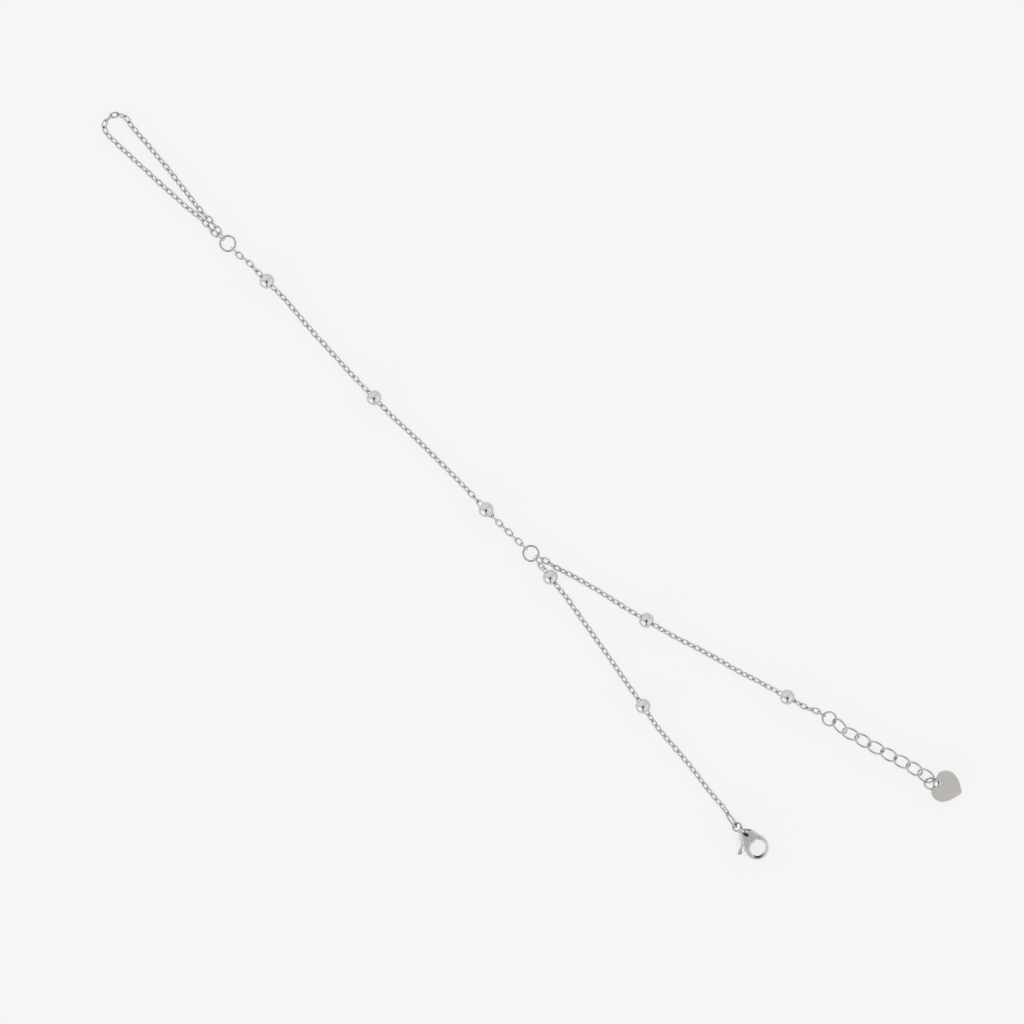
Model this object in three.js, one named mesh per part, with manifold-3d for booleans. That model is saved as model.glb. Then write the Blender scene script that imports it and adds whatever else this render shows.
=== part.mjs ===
// Hand chain of stainless steel: a bracelet, a chain over the back of the hand and a loop for a finger.
// It lies flat and unfastened on a surface. Millimetres, +Z up, the surface is z = 0, +Y runs from the wrist to the finger.
// The layout is worked out from the wrist ring's centre, and the whole is centred on its own box at the end.

import * as THREE from "three";
import { mergeVertices } from "three/addons/utils/BufferGeometryUtils.js";
import Module from "manifold-3d";

const wasm = await Module();
wasm.setup();

// ---------------------------------------------------------------- driving dimensions

const CHAIN_WIDTH = 1.3; // outer width of a fine cable link, and of the tube that stands for the links
const CHAIN_WIRE = 0.3;
const CHAIN_LINK_LENGTH = 2.05;
const CHAIN_SIDES = 8;
const CHAIN_STEP = 3.7; // longest straight step of a chain tube
const CHAIN_REST_Z = CHAIN_WIDTH / 2; // the middle of a chain that lies on the surface

const BALL_DIAMETER = 3.0;
const BALL_BORE = 1.52;
const BALL_STRAIGHT = 1.75; // the chain runs straight for this far either side of a ball's middle
const BALL_SLOPE = 3.1; // and comes down to the surface over this length

const RING_WIRE = 0.42;
const RING_OUTER = 3.4;

const EXTENDER_WIRE = 0.4;
const EXTENDER_LENGTH = 3.75;
const EXTENDER_WIDTH = 3.0;

const TAG_RING_OUTER = 3.2;
const TAG_RING_WIRE = 0.4;

const HEART_LENGTH = 5.85;
const HEART_HALF_WIDTH = 3.15;
const HEART_THICKNESS = 0.7;
const HEART_EDGE = 0.1; // rounding of the rim
const HEART_HOLE = 1.3;
const HEART_HOLE_AT = 0.72; // from the lobes' tops
const HEART_TAB = 0.2; // the hole's rim fills the cleft and stands out from the lobes by this much

const CLASP_THICKNESS = 2.3;
const CLASP_EDGE = 0.2;
const CLASP_EYE_RADIUS = 0.84; // to the middle of the eye's wire
const CLASP_EYE_HALF_WIDTH = 0.215;
const CLASP_EYE_HALF_HEIGHT = 0.4;
const LEVER_THICKNESS = 1.5;
const LEVER_SIDE_GAP = 0.08;
const LEVER_EDGE = 0.12;
const KNOB_THICKNESS = 1.9;
const GATE_THICKNESS = 2.14;
const PIVOT = { u: 1.85, v: -0.3 };
const PIN_RADIUS = 0.26;
const PIN_GAP = 0.07;

const STEEL = { color: 0xb8b6b3, metalness: 1 };
const POLISHED = 0.12;
const SATIN = 0.38;

// ---------------------------------------------------------------- layout tables (mm from the wrist ring's centre)

// A ring lies in a plane that is turned up by `lean` degrees towards the compass angle `toward`.
const RINGS = {
  finger_ring: { x: -0.01, y: 84.92, z: 0.6, outer: RING_OUTER, wire: RING_WIRE, lean: 0, toward: 0 },
  wrist_ring: { x: 0, y: 0, z: 0.67, outer: RING_OUTER, wire: RING_WIRE, lean: 3, toward: 45 },
  extender_ring: { x: 19.15, y: -64.0, z: 1.08, outer: 3.1, wire: RING_WIRE, lean: 14, toward: -25 },
  clasp_ring: { x: -8.44, y: -64.99, z: 1.83, outer: 3.66, wire: RING_WIRE, lean: 81, toward: 171 },
  tag_ring: { x: 24.6, y: -87.1, z: 1.36, outer: TAG_RING_OUTER, wire: TAG_RING_WIRE, lean: 42, toward: -134 },
};

// Balls on each fine chain, with the compass angle of their bore.
const BALLS = {
  hand_ball_1: { x: 0.3, y: 74.28, heading: -89.6 },
  hand_ball_2: { x: -0.66, y: 43.26, heading: -90.2 },
  hand_ball_3: { x: -0.29, y: 12.26, heading: -89.8 },
  clasp_side_ball_1: { x: -0.56, y: -6.01, heading: -96.0 },
  clasp_side_ball_2: { x: -5.21, y: -36.73, heading: -99.8 },
  extender_side_ball_1: { x: 7.02, y: -25.17, heading: -75.2 },
  extender_side_ball_2: { x: 16.22, y: -55.21, heading: -72.8 },
};

// Each fine chain: the rings it hooks on, at which compass angle of the ring, how far its tube stays back from the
// ring's wire, how far the end link sits out from it, the compass angle of its lead where that isn't straight out, and
// the way between, a row for each bend or ball.
const CHAINS = {
  finger_loop_chain: {
    from: { ring: "finger_ring", at: 103.5, back: 1.4, out: 0.45 },
    to: { ring: "finger_ring", at: 76, back: 1.4, out: 0.45 },
    way: [
      { x: -0.6, y: 89.6 }, { x: -0.57, y: 92.0 }, { x: -0.83, y: 95.87 }, { x: -1.34, y: 103.65 },
      { x: -1.66, y: 109.6 }, { x: -1.92, y: 115.0 }, { x: -1.84, y: 117.2 }, { x: -0.85, y: 118.8 },
      { x: 0.3, y: 119.2 }, { x: 1.55, y: 118.85 }, { x: 2.46, y: 117.7 }, { x: 2.71, y: 116.3 },
      { x: 2.39, y: 114.4 }, { x: 2.27, y: 110.0 }, { x: 1.8, y: 103.64 }, { x: 1.25, y: 98.5 },
      { x: 0.83, y: 93.3 }, { x: 0.79, y: 89.6 },
    ],
  },
  hand_chain: {
    from: { ring: "finger_ring", at: -90.5, back: 1.0, out: 0.45 },
    to: { ring: "wrist_ring", at: 91.6, back: 1.0, out: 0.45 },
    way: [
      { x: 0.26, y: 80.2 }, { ball: "hand_ball_1" }, { x: 0.26, y: 68.8 }, { x: -0.18, y: 61.81 },
      { x: -0.48, y: 53.97 }, { x: -0.63, y: 48.9 }, { ball: "hand_ball_2" }, { x: -0.65, y: 37.7 },
      { x: -0.42, y: 32.29 }, { x: -0.25, y: 24.45 }, { x: -0.21, y: 17.8 }, { ball: "hand_ball_3" }, { x: -0.2, y: 6.8 },
    ],
  },
  clasp_side_chain: {
    from: { ring: "wrist_ring", at: -101, lead: -93, back: 1.0, out: 0.45 },
    to: { ring: "clasp_ring", at: 82, back: 1.1, out: 0.2 },
    way: [
      { ball: "clasp_side_ball_1" }, { x: -1.18, y: -11.4 }, { x: -2.22, y: -18.36 }, { x: -3.17, y: -24.55 },
      { x: -4.3, y: -31.2 }, { ball: "clasp_side_ball_2" }, { x: -5.96, y: -42.2 }, { x: -6.74, y: -50.72 }, { x: -7.5, y: -57.4 },
    ],
  },
  extender_side_chain: {
    from: { ring: "wrist_ring", at: -66, lead: -69, back: 1.0, out: 0.45 },
    to: { ring: "extender_ring", at: 104.6, back: 1.0, out: 0.42 },
    way: [
      { x: 1.55, y: -4.9 }, { x: 2.2, y: -7.2 }, { x: 3.07, y: -9.9 }, { x: 4.4, y: -14.8 }, { x: 5.6, y: -19.9 },
      { ball: "extender_side_ball_1" }, { x: 8.52, y: -30.4 }, { x: 11.14, y: -38.65 }, { x: 12.86, y: -44.69 },
      { x: 14.62, y: -50.0 }, { ball: "extender_side_ball_2" }, { x: 17.75, y: -60.0 },
    ],
  },
};

// The extender chain's crossings, from the extender ring to the tag ring, and the turn of the link that ends there.
const CROSSINGS = [
  { x: 19.63, y: -65.15, z: 1.12 },
  { x: 19.57, y: -67.77, z: 1.12, roll: -44 },
  { x: 20.5, y: -70.3, z: 1.04, roll: 40 },
  { x: 21.24, y: -73.06, z: 1.0, roll: -37 },
  { x: 22.12, y: -75.82, z: 1.0, roll: 38 },
  { x: 23.0, y: -78.58, z: 1.0, roll: -38 },
  { x: 23.85, y: -81.36, z: 1.0, roll: 37 },
  { x: 24.58, y: -83.98, z: 1.0, roll: -36 },
  { x: 25.12, y: -86.5, z: 1.0, roll: 34 },
];

const HEART = { x: 25.125, y: -87.33, z: 1.55, heading: -64.4, pitch: 11.7, roll: 8 };

const CLASP = { x: -8.58, y: -66.54, heading: -88.66 };

// The clasp's outlines seen from above, u along it from the eye and v across it.
const CLASP_OUTLINE = [
  { u: 0.72, v: 0.62 }, { u: 1.15, v: 0.5 }, { u: 1.75, v: 0.38 }, { u: 2.4, v: 0.26 }, { u: 3.05, v: 0.14 },
  { u: 3.7, v: -0.02 }, { u: 4.32, v: -0.14 }, { u: 4.42, v: -0.66 }, { u: 4.7, v: -1.17 }, { u: 5.24, v: -1.57 },
  { u: 6.0, v: -1.66 }, { u: 6.68, v: -1.34 }, { u: 7.08, v: -0.76 }, { u: 7.15, v: 0.0 }, { u: 7.05, v: 0.7 },
  { u: 6.68, v: 1.2 }, { u: 6.08, v: 1.45 }, { u: 5.4, v: 1.44 }, { u: 4.8, v: 1.2 }, { u: 4.38, v: 1.05 },
  { u: 3.66, v: 1.9 }, { u: 4.13, v: 2.08 }, { u: 4.78, v: 2.24 }, { u: 5.53, v: 2.28 }, { u: 6.3, v: 2.1 },
  { u: 7.05, v: 1.64 }, { u: 7.64, v: 0.95 }, { u: 7.93, v: 0.1 }, { u: 7.92, v: -0.7 }, { u: 7.62, v: -1.42 },
  { u: 7.1, v: -2.02 }, { u: 6.4, v: -2.45 }, { u: 5.6, v: -2.62 }, { u: 4.85, v: -2.54 }, { u: 4.0, v: -2.2 },
  { u: 2.78, v: -1.5 }, { u: 1.46, v: -0.72 }, { u: 0.72, v: -0.7 },
];
const LEVER_OUTLINE = [
  { u: 1.24, v: 0.76 }, { u: 1.77, v: 1.2 }, { u: 2.22, v: 1.53 }, { u: 2.7, v: 1.75 }, { u: 3.2, v: 1.85 },
  { u: 3.57, v: 1.82 }, { u: 4.27, v: 1.02 }, { u: 4.38, v: 0.86 }, { u: 4.34, v: -0.35 }, { u: 4.0, v: -0.85 }, { u: 3.5, v: -1.4 },
  { u: 3.4, v: -2.0 }, { u: 3.75, v: -2.62 }, { u: 4.2, v: -2.8 }, { u: 4.33, v: -3.29 }, { u: 3.88, v: -3.8 },
  { u: 3.5, v: -3.1 }, { u: 3.05, v: -2.58 }, { u: 2.51, v: -2.23 }, { u: 1.84, v: -1.66 }, { u: 1.48, v: -1.2 },
  { u: 1.32, v: -0.66 }, { u: 1.26, v: -0.2 }, { u: 1.22, v: 0.25 },
];
const KNOB_OUTLINE = [
  { u: 3.6, v: -2.72 }, { u: 4.2, v: -2.8 }, { u: 4.33, v: -3.29 }, { u: 3.88, v: -3.8 }, { u: 3.46, v: -3.06 },
];
// The part of the lever that closes the hook and stands level with the body's sides.
const GATE_OUTLINE = [
  { u: 1.3, v: 0.81 }, { u: 1.77, v: 1.2 }, { u: 2.22, v: 1.53 }, { u: 2.7, v: 1.75 }, { u: 3.2, v: 1.85 },
  { u: 3.57, v: 1.82 }, { u: 4.27, v: 1.02 }, { u: 4.36, v: 0.84 }, { u: 4.1, v: 0.8 }, { u: 3.49, v: 0.71 },
  { u: 2.83, v: 0.63 }, { u: 2.18, v: 0.56 }, { u: 1.6, v: 0.56 },
];
const SLOT = { from: 1.16, to: 4.46, top: 0.9 };

// ---------------------------------------------------------------- small helpers

const DEG = Math.PI / 180;
const UP = new THREE.Vector3(0, 0, 1);
const compass = (degrees) => new THREE.Vector3(Math.cos(degrees * DEG), Math.sin(degrees * DEG), 0);

function solidOf(geometry, matrix) {
  const g = geometry.index ? geometry.toNonIndexed() : geometry.clone();
  g.deleteAttribute("normal");
  g.deleteAttribute("uv");
  if (matrix) g.applyMatrix4(matrix);
  const merged = mergeVertices(g, 1e-4);
  return new wasm.Manifold(
    new wasm.Mesh({
      numProp: 3,
      vertProperties: new Float32Array(merged.attributes.position.array),
      triVerts: new Uint32Array(merged.index.array),
    }),
  );
}

function geometryOf(solid) {
  const m = solid.getMesh();
  const g = new THREE.BufferGeometry();
  g.setAttribute("position", new THREE.BufferAttribute(new Float32Array(m.vertProperties), 3));
  g.setIndex(new THREE.BufferAttribute(new Uint32Array(m.triVerts), 1));
  g.computeVertexNormals();
  return g;
}

function material(roughness) {
  return new THREE.MeshStandardMaterial({ ...STEEL, roughness });
}

// A frame whose x axis is `along` and whose y axis is as near `across` as can be.
function frameMatrix(origin, along, across) {
  const x = along.clone().normalize();
  const z = new THREE.Vector3().crossVectors(x, across).normalize();
  const y = new THREE.Vector3().crossVectors(z, x);
  return new THREE.Matrix4().makeBasis(x, y, z).setPosition(origin);
}

function placed(name, geometry, matrix, roughness) {
  const mesh = new THREE.Mesh(geometry, material(roughness));
  mesh.name = name;
  mesh.position.setFromMatrixPosition(matrix);
  mesh.quaternion.setFromRotationMatrix(matrix);
  return mesh;
}

// Closed loop of round wire on an oval centre line, in the XY plane, long axis on X.
function ovalWire({ length, width, wire, fullness = 2, sides = 6, steps = 16 }) {
  const a = (length - wire) / 2;
  const b = (width - wire) / 2;
  const r = wire / 2;
  const positions = [];
  const index = [];
  const power = (value, exponent) => Math.sign(value) * Math.abs(value) ** exponent;
  for (let i = 0; i < steps; i++) {
    const t = (i / steps) * 2 * Math.PI;
    const x = a * power(Math.cos(t), 2 / fullness);
    const y = b * power(Math.sin(t), 2 / fullness);
    const nx = power(Math.cos(t), 2 - 2 / fullness) / a;
    const ny = power(Math.sin(t), 2 - 2 / fullness) / b;
    const n = Math.hypot(nx, ny);
    for (let j = 0; j < sides; j++) {
      const f = ((j + 0.5) / sides) * 2 * Math.PI;
      positions.push(x + (r * Math.cos(f) * nx) / n, y + (r * Math.cos(f) * ny) / n, r * Math.sin(f));
      const p = i * sides + j;
      const q = i * sides + ((j + 1) % sides);
      const s = ((i + 1) % steps) * sides + j;
      const u = ((i + 1) % steps) * sides + ((j + 1) % sides);
      index.push(p, s, q, q, s, u);
    }
  }
  const g = new THREE.BufferGeometry();
  g.setAttribute("position", new THREE.Float32BufferAttribute(positions, 3));
  g.setIndex(index);
  g.computeVertexNormals();
  return g;
}

// ---------------------------------------------------------------- rings

function ringMatrix(ring) {
  const toward = compass(ring.toward);
  const up = toward.clone().multiplyScalar(Math.cos(ring.lean * DEG)).addScaledVector(UP, Math.sin(ring.lean * DEG));
  const side = new THREE.Vector3().crossVectors(UP, toward);
  return frameMatrix(new THREE.Vector3(ring.x, ring.y, ring.z), up, side);
}

function ringMesh(name, ring) {
  const geometry = new THREE.TorusGeometry((ring.outer - ring.wire) / 2, ring.wire / 2, 8, 20);
  return placed(name, geometry, ringMatrix(ring), POLISHED);
}

// Where a ring's wire lies nearest a compass direction from its centre, and which way the wire runs there. A ring that
// stands up is met low down, at the height of the chain.
function wireOf(ring, at) {
  const matrix = ringMatrix(ring);
  const radius = (ring.outer - ring.wire) / 2;
  let best = null;
  for (let degrees = 0; degrees < 360; degrees += 0.5) {
    const local = new THREE.Vector3(Math.cos(degrees * DEG), Math.sin(degrees * DEG), 0);
    const tangent = new THREE.Vector3(-Math.sin(degrees * DEG), Math.cos(degrees * DEG), 0).transformDirection(matrix);
    const point = local.multiplyScalar(radius).applyMatrix4(matrix);
    const from = point.clone().sub(new THREE.Vector3(ring.x, ring.y, ring.z)).setZ(0);
    const way = compass(at);
    const miss = ring.lean > 60 ? Math.abs(point.z - CHAIN_REST_Z - 0.1) + (from.dot(way) > 0 ? 0 : 9) : from.angleTo(way);
    if (!best || miss < best.miss) best = { miss, point, tangent };
  }
  return best;
}

// ---------------------------------------------------------------- fine chains

// The plan of a chain as a list of stations; a ball adds its own straight stretch and the slope either side.
function stationsOf(chain) {
  const ends = [chain.from, chain.to].map((end) => {
    const wire = wireOf(RINGS[end.ring], end.at);
    const way = compass(end.lead ?? end.at);
    return { ...end, wire, way };
  });
  const endPoint = (end, distance) => end.wire.point.clone().addScaledVector(end.way, distance).setZ(CHAIN_REST_Z);
  const knots = [endPoint(ends[0], ends[0].back), endPoint(ends[0], ends[0].back + 0.7)];
  for (const row of chain.way) {
    if (!row.ball) {
      knots.push(new THREE.Vector3(row.x, row.y, CHAIN_REST_Z));
      continue;
    }
    const ball = BALLS[row.ball];
    const middle = new THREE.Vector3(ball.x, ball.y, BALL_DIAMETER / 2);
    const way = compass(ball.heading);
    const before = knots[knots.length - 1];
    const room = Math.abs(middle.clone().sub(before).setZ(0).length()) - BALL_STRAIGHT;
    if (room > BALL_SLOPE * 1.3)
      knots.push(middle.clone().addScaledVector(way, -BALL_STRAIGHT - BALL_SLOPE).setZ(CHAIN_REST_Z));
    for (const s of [-BALL_STRAIGHT, 0, BALL_STRAIGHT]) knots.push(middle.clone().addScaledVector(way, s));
    knots.push(middle.clone().addScaledVector(way, BALL_STRAIGHT + BALL_SLOPE).setZ(CHAIN_REST_Z));
  }
  knots.push(endPoint(ends[1], ends[1].back + 0.7), endPoint(ends[1], ends[1].back));
  return { ends, knots: dropCrowded(knots) };
}

// Takes out a lying knot that comes too near the one before it, or behind it.
function dropCrowded(knots) {
  const kept = [];
  knots.forEach((knot, i) => {
    const last = kept[kept.length - 1];
    const fixed = i < 2 || i > knots.length - 3 || knot.z > CHAIN_REST_Z + 0.2;
    if (!fixed && last && last.distanceTo(knot) < 1.2) return;
    kept.push(knot);
  });
  return kept;
}

// A path that passes the stations at equal steps of its parameter, so that each step of the tube ends on one.
class StationPath extends THREE.Curve {
  constructor(stations) {
    super();
    this.stations = stations;
  }
  getPoint(t, target = new THREE.Vector3()) {
    const n = this.stations.length - 1;
    const i = Math.min(Math.max(Math.floor(t * n), 0), n - 1);
    return target.copy(this.stations[i]).lerp(this.stations[i + 1], t * n - i);
  }
  getUtoTmapping(u) {
    return u;
  }
}

function chainTube(knots) {
  const smooth = new THREE.CatmullRomCurve3(knots, false, "centripetal");
  const stations = [];
  knots.forEach((knot, i) => {
    stations.push(knot.clone());
    const next = knots[i + 1];
    if (!next) return;
    const pieces = Math.ceil(knot.distanceTo(next) / CHAIN_STEP - 0.15);
    const level = Math.abs(knot.z - next.z) < 0.01;
    for (let k = 1; k < pieces; k++) {
      const p = smooth.getPoint((i + k / pieces) / (knots.length - 1));
      stations.push(level ? p.setZ(knot.z) : p);
    }
  });
  const section = new THREE.Shape();
  for (let i = 0; i <= CHAIN_SIDES; i++) {
    const t = ((i + 0.5) / CHAIN_SIDES) * 2 * Math.PI;
    section[i ? "lineTo" : "moveTo"]((CHAIN_WIDTH / 2) * Math.cos(t), (CHAIN_WIDTH / 2) * Math.sin(t));
  }
  return new THREE.ExtrudeGeometry(section, { steps: stations.length - 1, extrudePath: new StationPath(stations), curveSegments: 1 });
}

// The last link of a chain, which holds on to a ring's wire.
function endLink(end) {
  const along = end.way.clone();
  const centre = end.wire.point.clone().addScaledVector(end.way, end.out);
  centre.setZ(Math.max(CHAIN_REST_Z, end.wire.point.z));
  const across = new THREE.Vector3().crossVectors(along, end.wire.tangent).normalize();
  const geometry = ovalWire({ length: CHAIN_LINK_LENGTH, width: CHAIN_WIDTH, wire: CHAIN_WIRE, fullness: 2.5, sides: 6, steps: 14 });
  return solidOf(geometry, frameMatrix(centre, along, across));
}

function chainMesh(name, chain) {
  const { ends, knots } = stationsOf(chain);
  let solid = solidOf(chainTube(knots));
  for (const end of ends) solid = solid.add(endLink(end));
  const mesh = new THREE.Mesh(geometryOf(solid), material(POLISHED));
  mesh.name = name;
  return mesh;
}

// ---------------------------------------------------------------- balls

function ballMesh(name, ball) {
  const R = BALL_DIAMETER / 2;
  const r = BALL_BORE / 2;
  const half = Math.acos(r / R);
  const profile = [];
  for (let i = 0; i <= 8; i++) {
    const t = -half + (2 * half * i) / 8;
    profile.push(new THREE.Vector2(R * Math.cos(t), R * Math.sin(t)));
  }
  profile.push(profile[0].clone());
  const mesh = new THREE.Mesh(new THREE.LatheGeometry(profile, 18), material(POLISHED));
  mesh.name = name;
  mesh.position.set(ball.x, ball.y, R);
  mesh.quaternion.setFromUnitVectors(new THREE.Vector3(0, 1, 0), compass(ball.heading));
  return mesh;
}

// ---------------------------------------------------------------- extender chain

function extenderMeshes() {
  const geometry = ovalWire({ length: EXTENDER_LENGTH, width: EXTENDER_WIDTH, wire: EXTENDER_WIRE, fullness: 2.15, sides: 7, steps: 20 });
  return CROSSINGS.slice(1).map((end, i) => {
    const a = new THREE.Vector3(CROSSINGS[i].x, CROSSINGS[i].y, CROSSINGS[i].z);
    const b = new THREE.Vector3(end.x, end.y, end.z);
    const along = b.clone().sub(a).normalize();
    const side = new THREE.Vector3().crossVectors(UP, along).normalize().applyAxisAngle(along, end.roll * DEG);
    return placed("extender_link_" + (i + 1), geometry.clone(), frameMatrix(a.add(b).multiplyScalar(0.5), along, side), POLISHED);
  });
}

// ---------------------------------------------------------------- heart tag

function heartMesh() {
  const w = HEART_HALF_WIDTH;
  const l = HEART_LENGTH;
  const shape = new THREE.Shape();
  shape.moveTo(-HEART_TAB, 0);
  shape.bezierCurveTo(-HEART_TAB, 0.12 * w, 0, 0.24 * w, 0, 0.43 * w);
  shape.bezierCurveTo(0, 0.77 * w, 0.15 * l, w, 0.365 * l, w);
  shape.bezierCurveTo(0.595 * l, w, 0.83 * l, 0.55 * w, 0.975 * l, 0.08 * w);
  shape.quadraticCurveTo(1.0 * l, 0, 0.975 * l, -0.08 * w);
  shape.bezierCurveTo(0.83 * l, -0.55 * w, 0.595 * l, -w, 0.365 * l, -w);
  shape.bezierCurveTo(0.15 * l, -w, 0, -0.77 * w, 0, -0.43 * w);
  shape.bezierCurveTo(0, -0.24 * w, -HEART_TAB, -0.12 * w, -HEART_TAB, 0);
  const plate = new THREE.ExtrudeGeometry(shape, {
    depth: HEART_THICKNESS - 2 * HEART_EDGE,
    bevelEnabled: true,
    bevelThickness: HEART_EDGE,
    bevelSize: HEART_EDGE,
    bevelOffset: -HEART_EDGE,
    bevelSegments: 1,
    curveSegments: 7,
  });
  plate.translate(0, 0, -HEART_THICKNESS / 2 + HEART_EDGE);
  const drill = new THREE.CylinderGeometry(HEART_HOLE / 2, HEART_HOLE / 2, 3, 16);
  drill.rotateX(Math.PI / 2);
  drill.translate(HEART_HOLE_AT, 0, 0);
  const geometry = geometryOf(solidOf(plate).subtract(solidOf(drill)));
  const along = compass(HEART.heading).multiplyScalar(Math.cos(HEART.pitch * DEG)).addScaledVector(UP, -Math.sin(HEART.pitch * DEG));
  const side = new THREE.Vector3().crossVectors(UP, along).normalize().applyAxisAngle(along.clone().normalize(), HEART.roll * DEG);
  return placed("heart_tag", geometry, frameMatrix(new THREE.Vector3(HEART.x, HEART.y, HEART.z), along, side), SATIN);
}

// ---------------------------------------------------------------- clasp

// A plate with rounded rims between two heights, from an outline in u and v.
function plate(outline, thickness, edge) {
  const shape = new THREE.Shape(outline.map(({ u, v }) => new THREE.Vector2(u, v)));
  const g = new THREE.ExtrudeGeometry(shape, {
    depth: thickness - 2 * edge,
    bevelEnabled: true,
    bevelThickness: edge,
    bevelSize: edge,
    bevelOffset: -edge,
    bevelSegments: 1,
  });
  return g.translate(0, 0, CLASP_THICKNESS / 2 - thickness / 2 + edge);
}

function upright(radius, height, u, v) {
  const g = new THREE.CylinderGeometry(radius, radius, height, 14);
  return g.rotateX(Math.PI / 2).translate(u, v, CLASP_THICKNESS / 2);
}

function claspMeshes() {
  const eyeProfile = [];
  for (let i = 0; i <= 8; i++) {
    const t = (i / 8) * 2 * Math.PI;
    eyeProfile.push(new THREE.Vector2(CLASP_EYE_RADIUS + CLASP_EYE_HALF_WIDTH * Math.cos(t), CLASP_EYE_HALF_HEIGHT * Math.sin(t)));
  }
  eyeProfile[8].copy(eyeProfile[0]);
  const eye = new THREE.LatheGeometry(eyeProfile, 20).rotateX(Math.PI / 2).translate(0, 0, CLASP_THICKNESS / 2);
  const slot = new THREE.BoxGeometry(SLOT.to - SLOT.from, 5, LEVER_THICKNESS + 2 * LEVER_SIDE_GAP).translate(
    (SLOT.from + SLOT.to) / 2,
    SLOT.top - 2.5,
    CLASP_THICKNESS / 2,
  );
  const body = solidOf(plate(CLASP_OUTLINE, CLASP_THICKNESS, CLASP_EDGE))
    .add(solidOf(eye))
    .subtract(solidOf(slot))
    .add(solidOf(upright(PIN_RADIUS, CLASP_THICKNESS - 0.3, PIVOT.u, PIVOT.v)));
  const lever = solidOf(plate(LEVER_OUTLINE, LEVER_THICKNESS, LEVER_EDGE))
    .add(solidOf(plate(KNOB_OUTLINE, KNOB_THICKNESS, LEVER_EDGE)))
    .add(solidOf(plate(GATE_OUTLINE, GATE_THICKNESS, LEVER_EDGE)))
    .subtract(solidOf(upright(PIN_RADIUS + PIN_GAP, 4, PIVOT.u, PIVOT.v)));
  const matrix = frameMatrix(new THREE.Vector3(CLASP.x, CLASP.y, 0), compass(CLASP.heading), compass(CLASP.heading + 90));
  return [
    placed("clasp_body", geometryOf(body), matrix, SATIN),
    placed("clasp_lever", geometryOf(lever), matrix, SATIN),
  ];
}

// ---------------------------------------------------------------- assembly

const layout = new THREE.Group();
for (const [name, ring] of Object.entries(RINGS)) layout.add(ringMesh(name, ring));
for (const [name, ball] of Object.entries(BALLS)) layout.add(ballMesh(name, ball));
for (const [name, chain] of Object.entries(CHAINS)) layout.add(chainMesh(name, chain));
layout.add(...extenderMeshes(), heartMesh(), ...claspMeshes());

const box = new THREE.Box3().setFromObject(layout, true);
layout.position.set(-(box.min.x + box.max.x) / 2, -(box.min.y + box.max.y) / 2, 0);

const handChain = new THREE.Group();
handChain.name = "hand_chain_assembly";
handChain.add(layout);
handChain.updateMatrixWorld(true);

export default handChain;
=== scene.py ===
# Looks of a stainless-steel hand chain that lies flat and unfastened on a pale surface.
# Lengths in the tables are millimetres in the layout frame (from the wrist ring's centre); every mesh is written in metres.

import math
import random

import bmesh
import bpy
import numpy as np
from mathutils import Matrix, Vector


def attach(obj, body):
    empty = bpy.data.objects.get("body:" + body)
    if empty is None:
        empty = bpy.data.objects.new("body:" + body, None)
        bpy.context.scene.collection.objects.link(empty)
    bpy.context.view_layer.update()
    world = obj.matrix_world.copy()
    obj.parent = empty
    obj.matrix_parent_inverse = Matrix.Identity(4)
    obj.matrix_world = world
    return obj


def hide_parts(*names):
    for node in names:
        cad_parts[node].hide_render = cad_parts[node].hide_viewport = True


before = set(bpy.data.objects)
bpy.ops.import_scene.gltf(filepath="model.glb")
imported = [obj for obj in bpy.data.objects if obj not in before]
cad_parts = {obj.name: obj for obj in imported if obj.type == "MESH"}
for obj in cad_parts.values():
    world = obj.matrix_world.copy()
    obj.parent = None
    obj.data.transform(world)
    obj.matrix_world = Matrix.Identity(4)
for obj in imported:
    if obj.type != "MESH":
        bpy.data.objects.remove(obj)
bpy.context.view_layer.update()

MM = 0.001
SHIFT = Vector((-8.400650, -13.634532, 0.0))

# ---------------------------------------------------------------- sizes and places, as in the construction

CHAIN_WIDTH = 1.3
CHAIN_WIRE = 0.3
CHAIN_LINK_LENGTH = 2.05
CHAIN_PITCH = 1.34
CHAIN_REST_Z = 0.65

BALL_DIAMETER = 3.0
BALL_BORE = 1.52
BALL_STRAIGHT = 1.75
BALL_SLOPE = 3.1

RINGS = {
    "finger_ring": dict(x=-0.01, y=84.92, z=0.6, outer=3.4, wire=0.42, lean=0, toward=0, seam=200),
    "wrist_ring": dict(x=0, y=0, z=0.67, outer=3.4, wire=0.42, lean=3, toward=45, seam=150),
    "extender_ring": dict(x=19.15, y=-64.0, z=1.08, outer=3.1, wire=0.42, lean=14, toward=-25, seam=20),
    "clasp_ring": dict(x=-8.4, y=-64.74, z=1.828, outer=3.66, wire=0.42, lean=77, toward=171, seam=170, catch=1.3),
    "tag_ring": dict(x=24.6, y=-87.1, z=1.36, outer=3.2, wire=0.4, lean=42, toward=-134, seam=-70),
}

BALLS = {
    "hand_ball_1": (0.3, 74.28, -89.6),
    "hand_ball_2": (-0.66, 43.26, -90.2),
    "hand_ball_3": (-0.29, 12.26, -89.8),
    "clasp_side_ball_1": (-0.56, -6.01, -96.0),
    "clasp_side_ball_2": (-5.21, -36.73, -99.8),
    "extender_side_ball_1": (7.02, -25.17, -75.2),
    "extender_side_ball_2": (16.22, -55.21, -72.8),
}

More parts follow.
